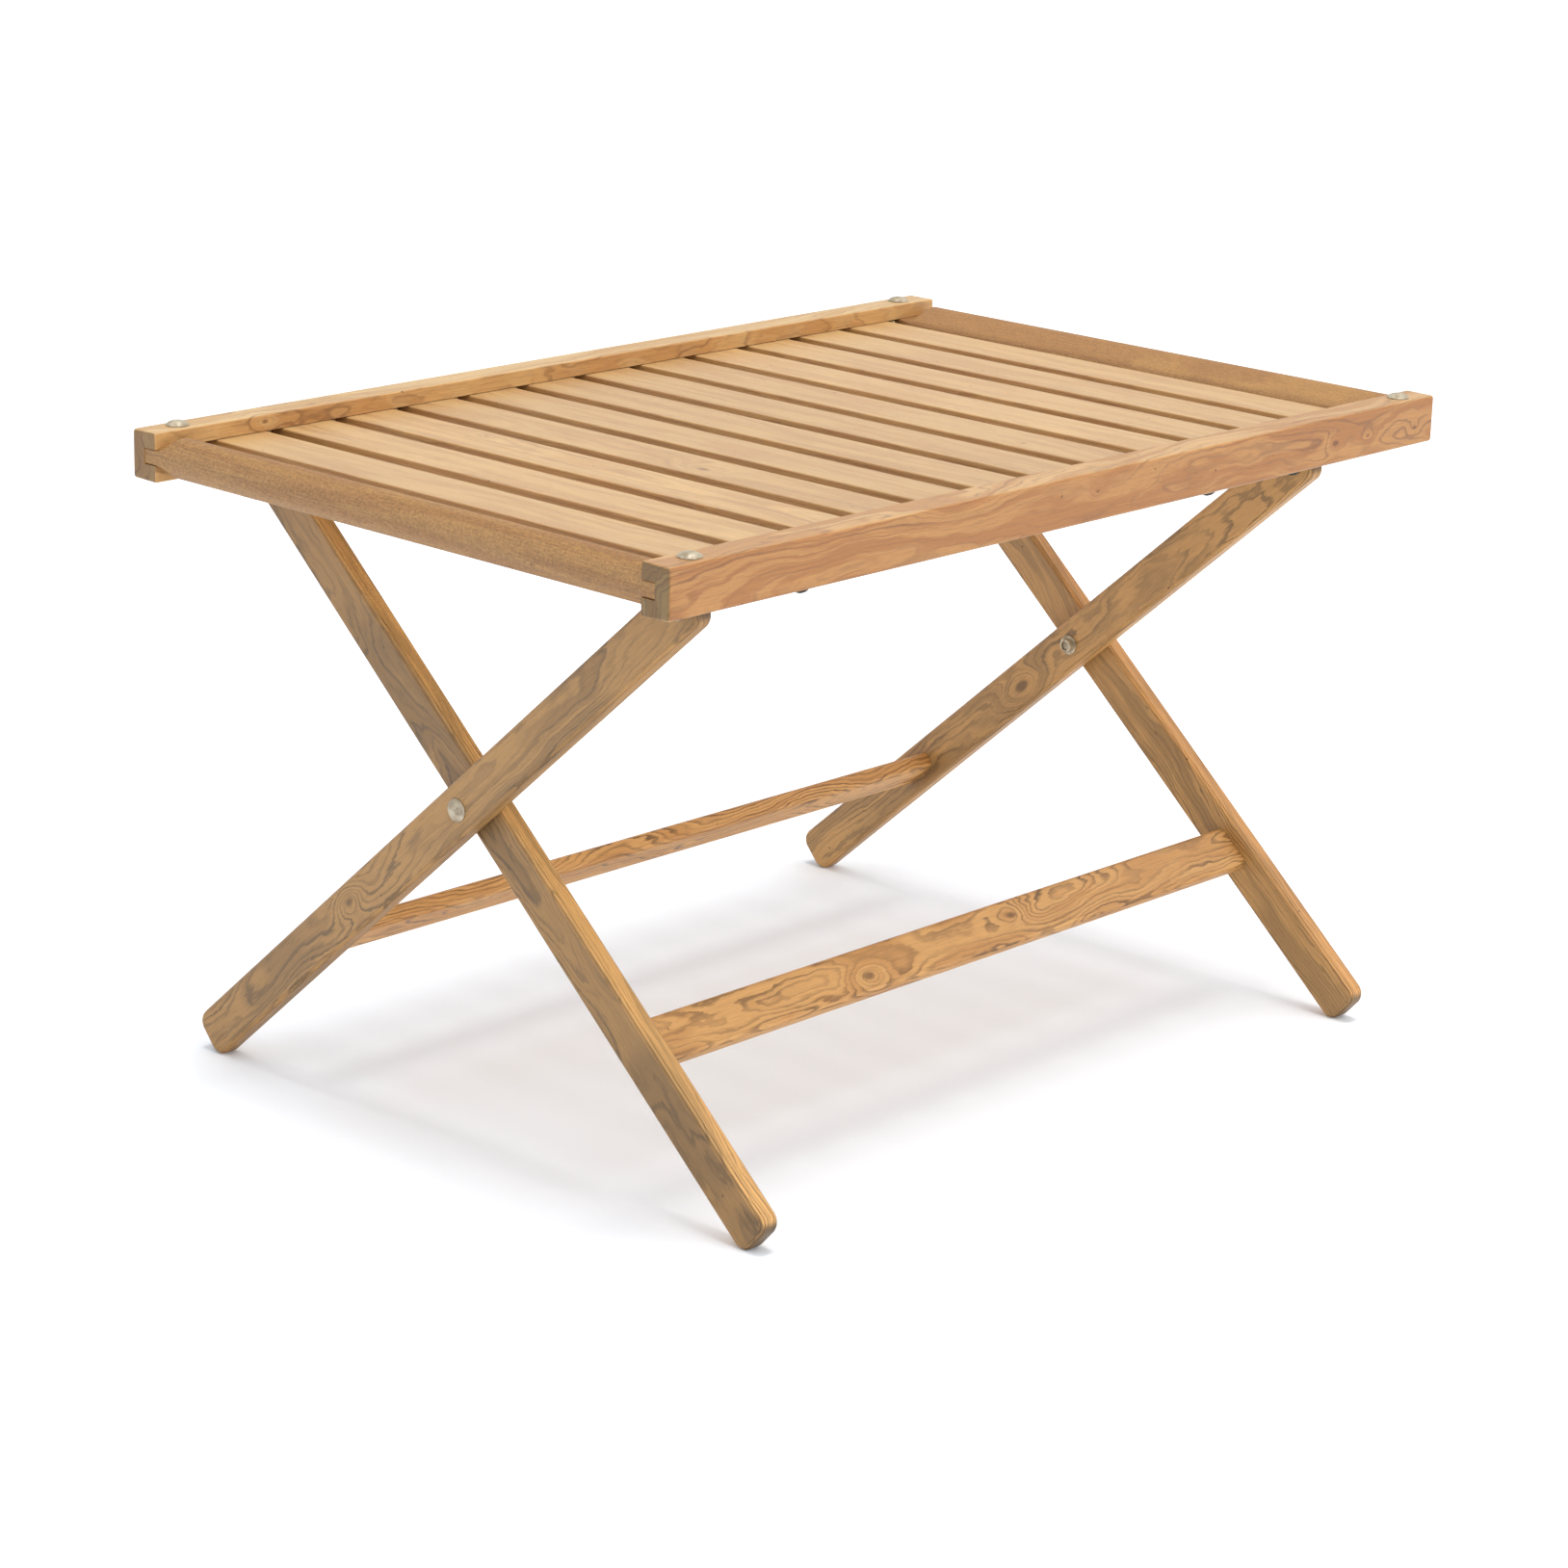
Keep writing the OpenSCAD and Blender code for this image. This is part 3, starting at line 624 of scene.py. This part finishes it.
def build_bolts():
    """Corner bolts down through the long rails, and pivot bolts in through the legs."""
    nickel = metal("nickel", srgb(190, 178, 156), 0.52, srgb(138, 122, 98), 3, dull=0.25)
    shank, nut_height, nut_recess = 4 * MM, 4.5 * MM, 1.5 * MM
    corner_low, corner_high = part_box("corner_bolts")
    pivot_low, pivot_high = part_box("pivot_bolts")
    head = pivot_high.z - PIVOT.z

    rail_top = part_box("near_rail")[1].z
    profile = bolt_profile(head, corner_high.z - rail_top, shank, rail_top - corner_low.z)
    places = [Matrix.Translation((x, y, rail_top))
              for x in (corner_low.x + head, corner_high.x - head)
              for y in (corner_low.y + head, corner_high.y - head)]
    lathe("corner_bolt_set", profile, places, "corner_bolts", "tabletop", nickel)

    left_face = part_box("leg_left_outer")[0].x
    rise = left_face - pivot_low.x
    right_face = pivot_high.x - rise
    nut_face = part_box("pivot_nuts")[1].x - nut_height
    profile = bolt_profile(head, rise, shank, right_face - nut_face - nut_recess)
    places = [Matrix.Translation((face, PIVOT.y, PIVOT.z))
              @ Matrix.Rotation(math.radians(turn), 4, "Y")
              for face, turn in ((left_face, -90), (right_face, 90))]
    lathe("pivot_bolt_set", profile, places, "pivot_bolts", "frame_one", nickel)


def paint_hardware():
    """Better materials on the CAD nodes that keep their own meshes."""
    zinc = metal("zinc", srgb(204, 190, 164), 0.42, srgb(126, 110, 86), 5, dull=0.15)
    rod = metal("rod_steel", srgb(168, 166, 160), 0.3, srgb(96, 88, 78), 7)
    lacquer = metal("dark_lacquer", srgb(74, 68, 60), 0.5, srgb(96, 84, 70), 9, dull=0.8)
    screw = metal("screw_zinc", srgb(170, 168, 158), 0.4, srgb(110, 100, 84), 11)
    birch = wood("birch_peg", PEG, 90, axes="ZXY")
    dowel = wood("beech_dowel", DOWEL, 91)
    rest = wood("leg_rest", REST, 92)
    paints = {
        zinc: ["corner_washers", "corner_nuts", "pivot_spacer_washers", "pivot_nut_washers",
               "pivot_nuts", "hinge_rod_washers", "hinge_rod_nuts"],
        rod: ["hinge_rod"],
        lacquer: ["hinge_brackets"],
        screw: ["hinge_bracket_screws", "leg_rest_screws"],
        birch: ["slat_pegs"],
        dowel: ["far_stretcher_dowels", "near_stretcher_dowels"],
        rest: ["leg_rest_left", "leg_rest_right"]}
    for material, nodes in paints.items():
        for node in nodes:
            for slot in frame["nodes"][node].material_slots:
                slot.material = material


# ---------------------------------------------------------------- stage, light and camera

FLOOR_SIZE, FLOOR_TONE = 80, (0.90, 0.92, 0.95, 1)   # metres, near white
SKY_TONE, SKY_STRENGTH = (0.94, 0.97, 1, 1), 1.0


def build_stage():
    """White studio floor under an even sky, a soft overhead sun and a broad fill from the front."""
    bpy.ops.mesh.primitive_plane_add(size=FLOOR_SIZE)
    floor = bpy.context.object
    floor.name = "floor"
    g = Graph("floor_paint")
    g.put(g.shader.inputs["Base Color"], FLOOR_TONE)
    g.put(g.shader.inputs["Roughness"], 0.9)
    g.put(g.shader.inputs["Specular IOR Level"], 0.0)
    floor.data.materials.append(g.material)
    world = bpy.data.worlds.new("studio")
    world.use_nodes = True
    background = world.node_tree.nodes["Background"]
    background.inputs["Color"].default_value = SKY_TONE
    background.inputs["Strength"].default_value = SKY_STRENGTH
    scene.world = world
    add_sun("overhead", 1.7, 19, (3, 1, 0))
    add_sun("front_fill", 0.9, 80, (58, 0, 15))
    scene.view_settings.view_transform = "Standard"


def add_sun(name, energy, softness, turn):
    """Sun lamp; softness and turn are in degrees."""
    sun = bpy.data.lights.new(name, "SUN")
    sun.energy = energy
    sun.angle = math.radians(softness)
    lamp = bpy.data.objects.new(name, sun)
    lamp.rotation_euler = [math.radians(angle) for angle in turn]
    scene.collection.objects.link(lamp)


def build_camera():
    """The photograph's camera, fitted to the rails' corners, the slats, the bolts and the feet."""
    data = bpy.data.cameras.new("camera")
    data.sensor_width = 36
    data.lens = 96.97
    data.shift_x, data.shift_y = -0.01236, -0.02982
    data.clip_end = 200
    camera = bpy.data.objects.new("camera", data)
    camera.location = (-2.4351, -2.2375, 1.2265)
    camera.rotation_euler = [math.radians(angle) for angle in (73.652, -1.585, -46.991)]
    scene.collection.objects.link(camera)
    scene.camera = camera


def build_tabletop():
    near_knots = [(10, 4, 2.5), (79, 11, 2.0), (314, -2, 3.5), (358, -2, 3.0), (424, -4, 3.0)]
    far_knots = [(341, 14, 3.5)]
    build_long_rail("near_rail", -1, RAIL, 11, (-30, -10), near_knots)
    build_long_rail("far_rail", 1, FAR_RAIL, 12, (-60, 8), far_knots)
    build_end_rail("left_end_rail", -1, END_RAIL, 13, (30, -60))
    # painted light: the right end rail made lighter than the left one, for the light on its inner
    # face
    build_end_rail("right_end_rail", 1, toned(END_RAIL, 1.12, nap=0.6), 14, (-20, -50))
    build_slats()


def build_frames():
    """The two leg frames, each board toned and its sides tinted as the photograph shows it; these
    tones and tints are painted light and shade.
    """
    # painted light on the legs' narrow sides that face up and to the front
    painted_up_face_light, lit_face = (2.0, 2.0, 2.0, 1), (1.35, 1.22, 1.16, 1)
    one, two = ("frame_one", FRAME_ONE_UP), ("frame_two", FRAME_TWO_UP)
    # painted light: the right legs and the far stretcher lighter, and the left inner leg darker,
    # for how much light each board gets
    build_leg("leg_left_outer", *one, LEG, 21, (12, -26), [(-120, 4, 6)])
    build_leg("leg_right_inner", *one, toned(LEG, 1.34), 22, (-14, -24), [(-30, -2, 7)])
    build_leg("leg_left_inner", *two, toned(LEG, 0.85, side=painted_up_face_light), 23, (6, -30))
    build_leg("leg_right_outer", *two, toned(LEG, 1.26, side=lit_face), 24, (-30, -30))
    build_stretcher("far_stretcher", *one, toned(STRETCHER, 1.12), 25, (20, -36))
    build_stretcher("near_stretcher", *two, STRETCHER, 26, (4, -18), [(-120, -6, 6), (60, 4, 5)])


build_camera()
build_stage()
build_tabletop()
build_frames()
build_bolts()
paint_hardware()
